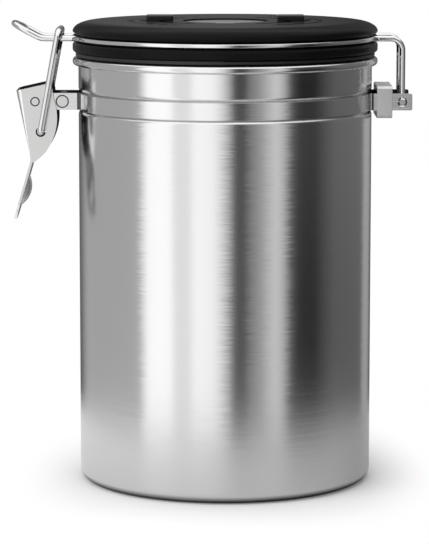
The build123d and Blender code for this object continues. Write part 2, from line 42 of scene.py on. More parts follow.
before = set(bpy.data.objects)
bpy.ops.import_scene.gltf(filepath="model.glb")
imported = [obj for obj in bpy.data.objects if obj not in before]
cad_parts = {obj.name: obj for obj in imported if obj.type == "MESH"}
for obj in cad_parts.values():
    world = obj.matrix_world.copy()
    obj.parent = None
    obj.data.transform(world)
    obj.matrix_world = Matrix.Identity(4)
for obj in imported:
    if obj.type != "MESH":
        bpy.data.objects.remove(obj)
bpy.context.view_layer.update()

MM = 0.001
# Points nearer than this are one point
WELD = 0.001 * MM
# Widest step round a bend of the sheet and of a wire, in degrees, and the sides of a wire's section
SHEET_STEP, WIRE_STEP, WIRE_SIDES = 9, 7, 24
# Turn below which a corner is left as it is, in radians
STRAIGHT = 0.01
# Painted shade and dark reflection in creases, on a plate's upward faces and round rivet heads (there with
# dirt), painted shade between facing plates, painted light on a sheet's upward faces and a painted
# highlight on a fold, as sRGB hex values
SHADE_AND_DIRT, FACING_SHADE, TOP_LIGHT, FOLD_HIGHLIGHT = "#0A0A0A", "#1E1E1E", "#F4F4F4", "#FFFFFF"
WHITE = (1.0, 1.0, 1.0, 1.0)


def length(name, description, millimetres):
    """Property that holds a length, with its default in millimetres."""
    return bpy.props.FloatProperty(
        name=name, description=description, default=millimetres * MM, unit="LENGTH", precision=5)


def slant(name, description, turn):
    """Property that holds an angle, with its default in degrees."""
    return bpy.props.FloatProperty(
        name=name, description=description, default=radians(turn), subtype="ANGLE")


def paint(name, description, code):
    """Property that holds a colour, as an sRGB hex value."""
    return bpy.props.StringProperty(name=name, description=description, default=code)


class CanisterShellSizes(bpy.types.PropertyGroup):
    """Drawn steel shell."""

    radius: length("Radius", "Outside radius of the body", 60.0)
    height: length("Height", "Height of the rim over the foot", 174.3)
    wall: length("Wall", "Thickness of the sheet", 0.8)
    foot: length("Foot", "Outside radius of the rounded foot", 4.4)
    curl_width: length("Curl width", "Width of the rolled rim", 3.1)
    curl_height: length("Curl height", "Height of the rolled rim", 3.3)
    curl_bend: length("Curl bend", "Outside bend of the rolled rim", 1.45)
    curl_gap: length("Curl gap", "Gap between the body and the end of the curl", 0.7)
    curl_edge: length("Curl edge", "Rounding of the curl's cut edge", 0.05)
    seat_depth: length("Seat depth", "Depth of the groove that the band sits in", 1.0)
    seat_height: length("Seat height", "Height of the groove", 9.0)
    seat_slope: length("Seat slope", "Height of each shoulder of the groove", 1.2)
    seat_bend: length("Seat bend", "Bend of the groove's shoulders", 1.2)
    seat_drop: length("Seat drop", "Distance of the groove's middle below the rim", 17.9)
    emboss_radius: length("Emboss radius", "Middle of the stiffening ring pressed into the base", 44.0)
    emboss_width: length("Emboss width", "Width of the stiffening ring", 6.0)
    emboss_depth: length("Emboss depth", "Depth of the stiffening ring", 0.6)
    emboss_bend: length("Emboss bend", "Bend of the stiffening ring's corners", 0.3)


class LidWireSizes(bpy.types.PropertyGroup):
    """Wire of the lid, from the loop at the latch round the lid to the hinge."""

    size: length("Size", "Diameter of the wire", 2.4)
    height: length("Height", "Height of the ring round the lid", 182.0)
    ring: length("Ring", "Radius of the ring, at the wire's middle", 60.5)
    ring_bend: length("Ring bend", "Bend from the ring into the loop and the legs", 4.0)
    loop_width: length("Loop width", "Half width of the loop", 8.0)
    loop_start: length("Loop start", "Where the loop starts to rise", 75.0)
    loop_reach: length("Loop reach", "Where the loop ends", 86.0)
    loop_bend: length("Loop bend", "Bend at the loop's start", 8.0)
    loop_end_bend: length("Loop end bend", "Bend at the loop's corners", 7.0)
    loop_rise: slant("Loop rise", "Slope of the loop", 27.8)
    leg: length("Leg", "Distance of each hinge leg from the middle", 9.75)
    hinge_reach: length("Hinge reach", "Distance of the hinge's axis from the middle", 71.9)
    hinge_height: length("Hinge height", "Height of the hinge's axis", 156.4)
    corner_bend: length("Corner bend", "Bend from the ring's height down the leg", 4.75)
    pin_bend: length("Pin bend", "Bend from the leg into the hinge pin", 1.3)
    pin_start: length("Pin start", "Where the pin starts, from the middle", 11.2)
    pin_length: length("Pin length", "Length of the pin", 1.6)
    pin_radius: length("Pin radius", "Radius of the pin", 1.55)
    pin_chamfer: length("Pin chamfer", "Chamfer at the pin's end", 0.4)


class LatchBailSizes(bpy.types.PropertyGroup):
    """Wire bail of the latch."""

    size: length("Size", "Diameter of the wire", 2.9)
    top: length("Top", "Height of the bar over the lid's loop", 185.0)
    hole_reach: length("Hole reach", "Distance of the lever's holes from the middle", 75.1)
    hole_height: length("Hole height", "Height of the lever's holes", 144.1)
    side: length("Side", "Distance of each leg from the middle", 11.95)
    lean: slant("Lean", "Lean of the legs towards the lid", 10.55)
    top_bend: length("Top bend", "Bend at the bar's ends", 3.6)
    end_bend: length("End bend", "Bend into the lever's holes", 1.55)
    end: length("End", "Length of each end, from the leg's middle", 4.35)


class LidNumeralSizes(bpy.types.PropertyGroup):
    """Raised numbers beside the date sliders."""

    circle: length("Circle", "Radius of the ring of numbers", 38.6)
    month_size: length("Month size", "Height of the month numbers", 2.7)
    day_size: length("Day size", "Height of the day numbers", 1.9)
    relief: length("Relief", "How far the numbers stand up", 0.12)
    month_start: slant("Month start", "Angle of the first month", 130)
    month_step: slant("Month step", "Angle between two months", 10)
    day_start: slant("Day start", "Angle of the first day", 60)
    day_step: slant("Day step", "Angle between two days", -4)


class CanisterStudio(bpy.types.PropertyGroup):
    """Camera and lights, as the photograph was taken."""

    lens: bpy.props.FloatProperty(
        name="Lens", description="Focal length on a 36 mm sensor", default=187.65)
    camera_aside: length("Aside", "How far left of the canister the camera stands", 4.35)
    camera_back: length("Back", "Distance in front of the canister's axis", 1161)
    camera_height: length("Height", "Height of the camera", 250.4)
    camera_tilt: slant("Tilt", "Angle below the horizon", 8.106)
    world_strength: bpy.props.FloatProperty(
        name="Room", description="Strength of the studio's walls", default=1.5)
    key_power: bpy.props.FloatProperty(
        name="Key", description="Power of the softbox at the upper left, in watts", default=5.0)
    key_size: length("Key size", "Side of the softbox", 700)


class CanisterFinish(bpy.types.PropertyGroup):
    """Colours of the finishes, as sRGB hex values."""

    steel: paint("Steel", "Brushed stainless steel", "#D3D3D3")
    plate: paint("Plate", "Tumbled steel of the latch", "#D6D6D5")
    disc: paint("Disc", "Spun steel of the valve disc", "#CBCBCB")
    folded: paint("Folded", "Folded sheet of the clip", "#CFCFCF")
    wire: paint("Wire", "Polished wire", "#D2D2D2")
    lid: paint("Lid", "Black moulded lid", "#151516")
    slider: paint("Slider", "Glossy black slider", "#0C0C0C")
    gasket: paint("Gasket", "Black silicone", "#161616")
    valve: paint("Valve", "Plastic inside the lid", "#242424")
    flap: paint("Flap", "Clear silicone of the flap", "#D8D6CE")
    filter: paint("Filter", "Filter disc", "#EDE9DC")
    table: paint("Table", "White table top, as the camera sees it in the shadow", "#DCDCDC")


def linear(code):
    """Linear RGBA of an sRGB hex value."""
    parts = [int(code[place:place + 2], 16) / 255 for place in (1, 3, 5)]
    return [part / 12.92 if part <= 0.04045 else ((part + 0.055) / 1.055) ** 2.4 for part in parts] + [1.0]


def add_node(tree, kind, inputs=None, **settings):
    """Adds a shader node with its settings. An input is a value, or a socket or node to link from."""
    made = tree.nodes.new("ShaderNode" + kind)
    for name, value in settings.items():
        setattr(made, name, value)
    for name, value in (inputs or {}).items():
        if isinstance(value, bpy.types.Node):
            value = value.outputs[0]
        if isinstance(value, bpy.types.NodeSocket):
            tree.links.new(value, made.inputs[name])
        else:
            made.inputs[name].default_value = value
    return made


def set_ramp(ramp, stops):
    """Sets a colour ramp's stops from pairs of place and grey level."""
    while len(ramp.elements) > 1:
        ramp.elements.remove(ramp.elements[-1])
    for number, (place, level) in enumerate(stops):
        stop = ramp.elements[0] if number == 0 else ramp.elements.new(place)
        stop.position = place
        stop.color = (level, level, level, 1.0)


def new_material(name):
    """Empty node material with its Principled shader."""
    material = bpy.data.materials.new(name)
    material.use_nodes = True
    tree = material.node_tree
    tree.nodes.clear()
    shader = add_node(tree, "BsdfPrincipled")
    add_node(tree, "OutputMaterial", {"Surface": shader})
    return material, tree, shader


def brushed_steel(name, finish):
    """Brushed 304 stainless steel: fine scratches run round the body, so its highlights stand upright with
    ragged sides, and the drawn neck and the curl are smoother."""
    material, tree, shader = new_material(name)
    radius = 60 * MM
    neck_start, neck_end = 153.5 * MM, 166 * MM
    body_sway, neck_sway, lean = 0.075, 0.025, 0.05
    body_roughness, neck_roughness = 0.2, 0.17
    place = add_node(tree, "TexCoord").outputs["Object"]
    split = add_node(tree, "SeparateXYZ", {"Vector": place})
    turn = add_node(tree, "Math", {0: split.outputs["Y"], 1: split.outputs["X"]}, operation="ARCTAN2")

    def scratches(height, run, detail, strength):
        """Scratches of a height and a run round the body, drawn coarser than real ones so they show."""
        around = add_node(tree, "Math", {0: turn, 1: radius / run}, operation="MULTIPLY")
        upright = add_node(tree, "Math", {0: split.outputs["Z"], 1: 1 / height}, operation="MULTIPLY")
        grain = add_node(tree, "CombineXYZ", {"X": around, "Y": upright})
        noise = add_node(tree, "TexNoise", {"Vector": grain, "Scale": 1.0, "Detail": detail})
        centred = add_node(tree, "Math", {0: noise, 1: 0.5}, operation="SUBTRACT")
        return add_node(tree, "Math", {0: centred, 1: strength}, operation="MULTIPLY")

    neck = add_node(
        tree, "MapRange", {"Value": split.outputs["Z"], "From Min": neck_start, "From Max": neck_end},
        interpolation_type="SMOOTHSTEP")
    sway = add_node(tree, "MapRange", {"Value": neck, "To Min": body_sway, "To Max": neck_sway})
    sideways = scratches(height=0.4 * MM, run=9 * MM, detail=2.0, strength=sway)
    upwards = scratches(height=0.3 * MM, run=40 * MM, detail=1.0, strength=lean)
    tangent = add_node(tree, "Tangent", direction_type="RADIAL", axis="Z")
    normal = add_node(tree, "NewGeometry").outputs["Normal"]
    swung = add_node(tree, "VectorMath", {0: tangent, "Scale": sideways}, operation="SCALE")
    tilted = add_node(tree, "CombineXYZ", {"Z": upwards})
    moved = add_node(tree, "VectorMath", {0: normal, 1: swung}, operation="ADD")
    moved = add_node(tree, "VectorMath", {0: moved, 1: tilted}, operation="ADD")
    scratched = add_node(tree, "VectorMath", {0: moved}, operation="NORMALIZE")
    rough = add_node(
        tree, "MapRange", {"Value": neck, "To Min": body_roughness, "To Max": neck_roughness})
    shader.inputs["Base Color"].default_value = linear(finish.steel)
    shader.inputs["Metallic"].default_value = 1.0
    shader.inputs["Anisotropic"].default_value = 0.65
    shader.inputs["Anisotropic Rotation"].default_value = 0.25
    tree.links.new(rough.outputs[0], shader.inputs["Roughness"])
    tree.links.new(scratched.outputs[0], shader.inputs["Normal"])
    tree.links.new(tangent.outputs[0], shader.inputs["Tangent"])
    return material


def spun_steel(finish):
    """Spun stainless steel of the valve disc: its scratches are circles about the middle of the lid, so
    the light stands on it in two narrow fans."""
    material, tree, shader = new_material("spun_stainless_steel")
    groove, groove_depth = 0.25 * MM, 0.01 * MM
    place = add_node(tree, "TexCoord").outputs["Object"]
    flat = add_node(tree, "VectorMath", {0: place, 1: (1, 1, 0)}, operation="MULTIPLY")
    reach = add_node(tree, "VectorMath", {0: flat}, operation="LENGTH").outputs["Value"]
    rings = add_node(
        tree, "TexNoise", {"W": reach, "Scale": 1 / groove, "Detail": 2.0}, noise_dimensions="1D")
    bump = add_node(tree, "Bump", {"Height": rings, "Strength": 0.4, "Distance": groove_depth})
    rough = add_node(tree, "MapRange", {"Value": rings, "To Min": 0.18, "To Max": 0.3})
    shader.inputs["Base Color"].default_value = linear(finish.disc)
    shader.inputs["Metallic"].default_value = 1.0
    tree.links.new(rough.outputs[0], shader.inputs["Roughness"])
    tree.links.new(bump.outputs[0], shader.inputs["Normal"])
    return material


def plain_finish(name, code, metallic, roughness, grit, depth, gloss=0.5):
    """Even finish with a fine grain: grit is its size and depth its bump, both in millimetres. Where the
    real grain is too fine to show, it is drawn as coarse as it needs."""
    material, tree, shader = new_material(name)
    place = add_node(tree, "TexCoord").outputs["Object"]
    grain = add_node(
        tree, "TexNoise", {"Vector": place, "Scale": 1 / (grit * MM), "Detail": 3.0, "Roughness": 0.6})
    bump = add_node(tree, "Bump", {"Height": grain, "Strength": 0.3, "Distance": depth * MM})
    # A metal's sheen varies less over its surface than a moulding's
    uneven = 0.04 if metallic else 0.15
    rough = add_node(
        tree, "MapRange",
        {"Value": grain, "From Min": 0.3, "From Max": 0.7, "To Min": roughness * (1 - uneven),
         "To Max": roughness * (1 + uneven)})
    shader.inputs["Base Color"].default_value = linear(code)
    shader.inputs["Metallic"].default_value = metallic
    shader.inputs["Specular IOR Level"].default_value = gloss
    tree.links.new(rough.outputs[0], shader.inputs["Roughness"])
    tree.links.new(bump.outputs[0], shader.inputs["Normal"])
    return material


def principled(material):
    """Principled shader of a material."""
    return next(node for node in material.node_tree.nodes if node.type == "BSDF_PRINCIPLED")


def recolour(material, mask, code=SHADE_AND_DIRT):
    """Mixes another colour into a material's own where the mask is one."""
    tree = material.node_tree
    base = principled(material).inputs["Base Color"]
    own = base.links[0].from_socket if base.is_linked else base.default_value
    mixed = add_node(tree, "Mix", {0: mask, 6: own, 7: linear(code)}, data_type="RGBA")
    tree.links.new(mixed.outputs[2], base)


def paint_pale_light(material, mask, code, metallic):
    """Paints a metal pale and less of a mirror where the mask is one: painted light."""
    recolour(material, mask, code)
    tree = material.node_tree
    lit_metallic = add_node(tree, "MapRange", {"Value": mask, "To Min": 1.0, "To Max": metallic})
    tree.links.new(lit_metallic.outputs[0], principled(material).inputs["Metallic"])


def facing(tree, axis, start, end):
    """Mask of the faces that look along an axis: none at the start, full at the end."""
    normal = add_node(tree, "TexCoord").outputs["Normal"]
    along = add_node(tree, "SeparateXYZ", {"Vector": normal}).outputs[axis]
    return add_node(tree, "MapRange", {"Value": along, "From Min": start, "From Max": end})


def paint_dark_tops(material):
    """Paints the faces of a sheet that look up dark: a painted dark reflection of the dark room behind."""
    recolour(material, facing(material.node_tree, "Z", start=0.75, end=0.95))


def paint_lit_tops(material):
    """Paints a sheet's faces that look up pale and less of a mirror: painted light from the whole room."""
    paint_pale_light(material, facing(material.node_tree, "Z", start=0.35, end=0.85), TOP_LIGHT, metallic=0.1)


def paint_fold_highlight(material):
    """Paints a highlight along the lever's outer fold."""
    tree = material.node_tree
    # Only the middle of the fold gets the painted highlight, so the lever keeps a grey outline
    off_plate = facing(tree, "X", start=-0.1, end=-0.25)
    off_back = facing(tree, "X", start=-0.88, end=-0.7)
    mask = add_node(tree, "Math", {0: off_plate, 1: off_back}, operation="MULTIPLY")
    paint_pale_light(material, mask, FOLD_HIGHLIGHT, metallic=0.15)


def paint_facing_shade(material):
    """Paints shade on the faces of a pair of plates that look at each other, where each plate shades the
    other.
    """
    tree = material.node_tree
    place = add_node(tree, "TexCoord")
    side = add_node(tree, "SeparateXYZ", {"Vector": place.outputs["Object"]}).outputs["Y"]
    look = add_node(tree, "SeparateXYZ", {"Vector": place.outputs["Normal"]}).outputs["Y"]
    # Below zero where a face looks back towards the middle
    outward = add_node(tree, "Math", {0: side, 1: look}, operation="MULTIPLY")
    mask = add_node(
        tree, "MapRange",
        {"Value": outward, "From Min": -4 * MM, "From Max": -2 * MM, "To Min": 0.95, "To Max": 0.0})
    recolour(material, mask, FACING_SHADE)


def shade_and_dirt_ring(material, node, radius):
    """Dark line round a rivet's head: painted shade where the head meets the plate, and dirt in the joint.
    """
    tree = material.node_tree
    line_start, line_end = radius - 0.5 * MM, radius - 0.35 * MM
    low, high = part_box(node)
    middle = (low + high) / 2
    place = add_node(tree, "TexCoord").outputs["Object"]
    offset = add_node(tree, "VectorMath", {0: place, 1: (middle.x, 0, middle.z)}, operation="SUBTRACT")
    flat = add_node(tree, "VectorMath", {0: offset, 1: (1, 0, 1)}, operation="MULTIPLY")
    reach = add_node(tree, "VectorMath", {0: flat}, operation="LENGTH").outputs["Value"]
    ring = add_node(
        tree, "MapRange", {"Value": reach, "From Min": line_start, "From Max": line_end, "To Max": 0.9})
    recolour(material, ring)


def paint_crease_shade(material, reach, half):
    """Painted shade in the crease where the band turns out from the body into its flanges."""
    tree = material.node_tree
    place = add_node(tree, "TexCoord").outputs["Object"]
    side = add_node(tree, "SeparateXYZ", {"Vector": place})
    away = add_node(tree, "Math", {0: side}, operation="ABSOLUTE")
    off = add_node(tree, "Math", {0: away, 1: reach}, operation="SUBTRACT")
    gap = add_node(tree, "Math", {0: off}, operation="ABSOLUTE")
    mask = add_node(
        tree, "MapRange",
        {"Value": gap, "From Min": half / 2, "From Max": half, "To Min": 0.95, "To Max": 0.0})
    recolour(material, mask)


def deselect():
    """Leaves nothing selected."""
    bpy.ops.object.select_all(action="DESELECT")


def select_only(made):
    """Leaves one object selected and active."""
    deselect()
    made.select_set(True)
    bpy.context.view_layer.objects.active = made


def edit_whole():
    """Goes into edit mode with the whole of the active piece selected."""
    bpy.ops.object.mode_set(mode="EDIT")
    bpy.ops.mesh.select_all(action="SELECT")


def point_object(name, place):
    """Adds an object of one vertex and leaves it in edit mode with that vertex selected."""
    deselect()
    bpy.ops.mesh.primitive_circle_add(vertices=3, radius=MM, location=place)
    made = bpy.context.object
    made.name = name
    bpy.ops.object.transform_apply(location=True, rotation=False, scale=False)
    edit_whole()
    bpy.ops.mesh.merge(type="CENTER")
    return made


def rounded(points, bends):
    """Line whose inner corners are rounded, each by its own bend."""
    points = [Vector(point) for point in points]
    line = [points[0]]
    for before, corner, after, bend in zip(points, points[1:], points[2:], bends):
        into, out = (before - corner).normalized(), (after - corner).normalized()
        turn = pi - into.angle(out)
        if bend <= 0 or turn < STRAIGHT:
            line.append(corner)
            continue
        steps = max(2, round(degrees(turn) / SHEET_STEP))
        centre = corner + (into + out).normalized() * bend / cos(turn / 2)
        start = corner + into * bend * tan(turn / 2) - centre
        end = corner + out * bend * tan(turn / 2) - centre
        for step in range(steps + 1):
            share = step / steps
            line.append(centre + (start * sin((1 - share) * turn) + end * sin(share * turn)) / sin(turn))
    line.append(points[-1])
    return line


def turned(name, profile, segments):
    """Piece turned about the upright axis from a profile of radii and heights."""
    made = point_object(name, (profile[0][0], 0, profile[0][1]))
    for before, after in zip(profile, profile[1:]):
        step = (after[0] - before[0], 0, after[1] - before[1])
        bpy.ops.mesh.extrude_vertices_move(TRANSFORM_OT_translate={"value": step})
    bpy.ops.mesh.select_all(action="SELECT")
    bpy.ops.mesh.spin(steps=segments, angle=2 * pi, center=(0, 0, 0), axis=(0, 0, 1))
    close_up()
    return made


def close_up():
    """Merges the doubles of the piece in edit mode, turns its faces outwards and leaves edit mode."""
    bpy.ops.mesh.select_all(action="SELECT")
    bpy.ops.mesh.remove_doubles(threshold=WELD)
    bpy.ops.mesh.normals_make_consistent(inside=False)
    bpy.ops.object.mode_set(mode="OBJECT")


def smooth(made, angle):
    """Shades a piece smooth up to an angle between faces, in degrees."""
    select_only(made)
    bpy.ops.object.shade_smooth_by_angle(angle=radians(angle))


def apply_modifiers(made):
    """Applies every modifier of a piece."""
    select_only(made)
    for modifier in list(made.modifiers):
        bpy.ops.object.modifier_apply(modifier=modifier.name)


def start_wire(name, place, size):
    """Starts a wire that runs along Y with its round section, open, and leaves the section selected."""
    deselect()
    bpy.ops.mesh.primitive_circle_add(
        vertices=WIRE_SIDES, radius=size / 2, location=place, rotation=(pi / 2, 0, 0))
    made = bpy.context.object
    made.name = name
    bpy.ops.object.transform_apply(location=True, rotation=True, scale=False)
    edit_whole()
    return made


def run_wire(here, there):
    """Extrudes the wire's end straight on."""
    bpy.ops.mesh.extrude_region_move(TRANSFORM_OT_translate={"value": Vector(there) - Vector(here)})
    return Vector(there)


def bend_wire(here, centre, axis, angle):
    """Spins the wire's end about a bend's centre and gives its new place."""
    steps = max(4, round(degrees(abs(angle)) / WIRE_STEP))
    # The operator turns the other way round its axis than a rotation matrix does
    bpy.ops.mesh.spin(steps=steps, angle=-angle, center=centre, axis=axis)
    centre = Vector(centre)
    return centre + Matrix.Rotation(angle, 3, Vector(axis)) @ (Vector(here) - centre)


def bent_wire(here, points, bends):
    """Runs the wire's end along a line with a bend at each inner corner."""
    points = [Vector(point) for point in points]
    for corner, after, bend in zip(points, points[1:], bends):
        into, out = (Vector(here) - corner).normalized(), (after - corner).normalized()
        angle = pi - into.angle(out)
        here = run_wire(here, corner + into * bend * tan(angle / 2))
        centre = corner + (into + out).normalized() * bend / cos(angle / 2)
        here = bend_wire(here, centre, out.cross(into).normalized(), angle)
    return run_wire(here, points[-1])


def mirror_wire(made):
    """Caps the selected end and mirrors the wire across its middle."""
    bpy.ops.mesh.edge_face_add()
    bpy.ops.object.mode_set(mode="OBJECT")
    mirror = made.modifiers.new("mirror", "MIRROR")
    mirror.use_axis = (False, True, False)
    mirror.merge_threshold = WELD
    apply_modifiers(made)
    edit_whole()
    close_up()
    smooth(made, 40)


def copy_of(node, name, join):
    """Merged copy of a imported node, selected and active, its flat faces joined where asked."""
    made = bpy.data.objects.new(name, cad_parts[node].data.copy())
    bpy.context.scene.collection.objects.link(made)
    made.data.materials.clear()
    select_only(made)
    edit_whole()
    bpy.ops.mesh.remove_doubles(threshold=2 * WELD)
    if join:
        bpy.ops.mesh.dissolve_limited(angle_limit=radians(0.6))
    bpy.ops.object.mode_set(mode="OBJECT")
    return made


def ease_edges(made, width):
    """Rounds a piece's sharp edges and keeps its flat faces flat."""
    bevel = made.modifiers.new("eased_edges", "BEVEL")
    bevel.width = width
    bevel.segments = 2
    bevel.limit_method = "ANGLE"
    bevel.angle_limit = radians(32)
    bevel.miter_outer = "MITER_ARC"
    apply_modifiers(made)
    smooth(made, 60)
    weight = made.modifiers.new("flat_faces", "WEIGHTED_NORMAL")
    weight.keep_sharp = True
    apply_modifiers(made)


def round_folds(made, bend, least):
    """Rounds the long outer folds of a sheet: its straight edges at the piece's full width."""
    mesh = made.data
    width = max(abs(vertex.co.y) for vertex in mesh.vertices) - 0.05 * MM
    bpy.ops.object.mode_set(mode="EDIT")
    bpy.ops.mesh.select_mode(type="EDGE")
    bpy.ops.mesh.select_all(action="DESELECT")
    bpy.ops.object.mode_set(mode="OBJECT")
    for edge in mesh.edges:
        first, last = (mesh.vertices[number].co for number in edge.vertices)
        edge.select = min(abs(first.y), abs(last.y)) > width and (last - first).length > least
    bpy.ops.object.mode_set(mode="EDIT")
    bpy.ops.mesh.bevel(offset=bend, segments=5, affect="EDGES")
    bpy.ops.mesh.select_mode(type="VERT")
    bpy.ops.object.mode_set(mode="OBJECT")


def hand_over(made, body, node):
    """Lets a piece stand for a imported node, with that node's finish."""
    made.data.materials.clear()
    made.data.materials.append(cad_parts[node].material_slots[0].material)
    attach(made, body)
    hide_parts(node)


def dress(node, material):
    """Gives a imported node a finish."""
    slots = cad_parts[node].material_slots
    if not slots:
        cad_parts[node].data.materials.append(material)
    for slot in slots:
        slot.material = material


class CANISTER_OT_finish(bpy.types.Operator):
    """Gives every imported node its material"""

    bl_idname = "canister.finish"
    bl_label = "Finish the packed nodes"

    def execute(self, context):
        finish = context.scene.canister_finish
        # The band is of the body's steel, with painted shade on its inner faces and in the crease at its
        # flanges
        strap = brushed_steel("brushed_steel_strap", finish)
        paint_facing_shade(strap)
        paint_crease_shade(strap, reach=59.9 * MM, half=0.5 * MM)
        # Each plain finish has its name, colour, metallic, roughness, and its grain's size and depth.
        # Pressed and tumbled: an even grey sheen, with a painted highlight along the fold, a painted dark
        # reflection on faces that look up and painted shade in the hollow
        plate = plain_finish("tumbled_steel_plate", finish.plate, 1.0, 0.28, 0.5, 0.0003)
        paint_fold_highlight(plate)
        paint_dark_tops(plate)
        paint_facing_shade(plate)
        # Folded from sheet: satin, with painted light that makes it pale on top where it faces the ceiling
        folded = plain_finish("folded_steel_sheet", finish.folded, 1.0, 0.34, 0.5, 0.0003)
        paint_lit_tops(folded)
        # Cold headed: a grey head inside a dark ring of painted shade and dirt
        for node, head in (("band_rivet", 2.6 * MM), ("lever_rivet", 1.85 * MM)):
            headed = plain_finish("headed_rivet_steel", finish.plate, 1.0, 0.3, 0.5, 0.0003)
            shade_and_dirt_ring(headed, node, head)
            dress(node, headed)
        # Drawn and polished: a narrow bright line along the wire's round
        wire = plain_finish("polished_steel_wire", finish.wire, 1.0, 0.14, 0.8, 0.0002)
        # Moulded in an etched tool: near black, with a faint broad sheen
        lid = plain_finish("moulded_black_polypropylene", finish.lid, 0.0, 0.3, 0.5, 0.006, gloss=0.04)
        # Moulded in a polished tool: black with small sharp highlights
        slider = plain_finish("polished_black_abs", finish.slider, 0.0, 0.12, 2, 0.005)
        # Moulded silicone: black and dull, with soft highlights
        gasket = plain_finish("black_silicone", finish.gasket, 0.0, 0.5, 0.4, 0.01)
        # Moulded in a blasted tool: dark grey with an even, weak sheen
        valve = plain_finish("dark_moulded_abs", finish.valve, 0.0, 0.42, 0.5, 0.01)
        # Moulded thin: milky and pale over its grey seat
        flap = plain_finish("translucent_silicone", finish.flap, 0.0, 0.45, 0.5, 0.01)
        # Pressed from fibre: cream, matt and a little rough
        felt = plain_finish("pressed_filter_felt", finish.filter, 0.0, 0.9, 0.3, 0.05)
        choice = {
            brushed_steel("brushed_stainless_steel", finish): ("canister_body",),
            strap: ("front_band", "rear_band"),
            spun_steel(finish): ("valve_cover",),
            plate: ("latch_lever", "lid_screws"),
            folded: ("band_clip",),
            wire: ("latch_bail", "lid_wire"),
            lid: ("lid_cap", "lid_base"),
            slider: ("month_slider", "day_slider"),
            gasket: ("lid_gasket", "valve_seal"),
            valve: ("valve_body", "valve_retainer", "month_keeper", "day_keeper"),
            flap: ("valve_flap",),
            felt: ("valve_filter",),
        }
        for material, nodes in choice.items():
            for node in nodes:
                dress(node, material)
        return {"FINISHED"}


class CANISTER_OT_shell(bpy.types.Operator):
    """Models the drawn steel shell: foot, body, band seat and rolled rim, with its inner skin"""

    bl_idname = "canister.shell"
    bl_label = "Shell"

    def execute(self, context):
        size = context.scene.canister_shell
        inner = size.radius - size.wall
        low, high = size.height - size.curl_height, size.height
        hollow = size.radius + size.curl_width - 2 * size.wall

        def emboss(height):
            """Corners of the stiffening ring on one skin of the base, from its inner side outwards."""
            near = size.emboss_radius - size.emboss_width / 2
            far = size.emboss_radius + size.emboss_width / 2
            rise = size.emboss_depth
            inner_side = (near, height), (near + rise, height + rise)
            outer_side = (far - rise, height + rise), (far, height)
            return [(place, size.emboss_bend) for place in inner_side + outer_side]

        def seat(skin, shift, shoulder, floor):
            """Corners of the band's groove on one skin of the body, upwards, with the bends of its
            shoulders and of its floor."""
            middle = size.height - size.seat_drop
            foot = middle - size.seat_height / 2 + shift
            head = middle + size.seat_height / 2 - shift
            half = size.seat_slope / 2
            return [
                ((skin, foot - half), shoulder),
                ((skin - size.seat_depth, foot + half), floor),
                ((skin - size.seat_depth, head - half), floor),
                ((skin, head + half), shoulder),
            ]

        # On a slope of even thickness the outer corners are nearer the groove's middle than the inner
        shift = size.wall * tan(atan2(size.seat_depth, size.seat_slope) / 2)
        corners = (
            ((0, 0), 0),
            *emboss(0),
            ((size.radius, 0), size.foot),
            *seat(size.radius, shift, size.seat_bend + size.wall, size.seat_bend - size.wall),
            ((size.radius, high - size.wall), size.curl_bend - size.wall),
            ((hollow, high - size.wall), size.curl_bend - size.wall),
            ((hollow, low + size.wall), size.curl_bend - size.wall),
            ((size.radius + size.curl_gap, low + size.wall), size.curl_edge),
            ((size.radius + size.curl_gap, low), size.curl_edge),
            ((inner + size.curl_width, low), size.curl_bend),
            ((inner + size.curl_width, high), size.curl_bend),
            ((inner, high), size.curl_bend),
            *reversed(seat(inner, 0, size.seat_bend, size.seat_bend)),
            ((inner, size.wall), size.foot - size.wall),
            *reversed(emboss(size.wall)),
            ((0, size.wall), 0),
        )
        profile = rounded([place for place, bend in corners], [bend for place, bend in corners[1:-1]])
        shell = turned("canister_shell", profile, segments=256)
        smooth(shell, 30)
        hand_over(shell, "root", "canister_body")
        return {"FINISHED"}


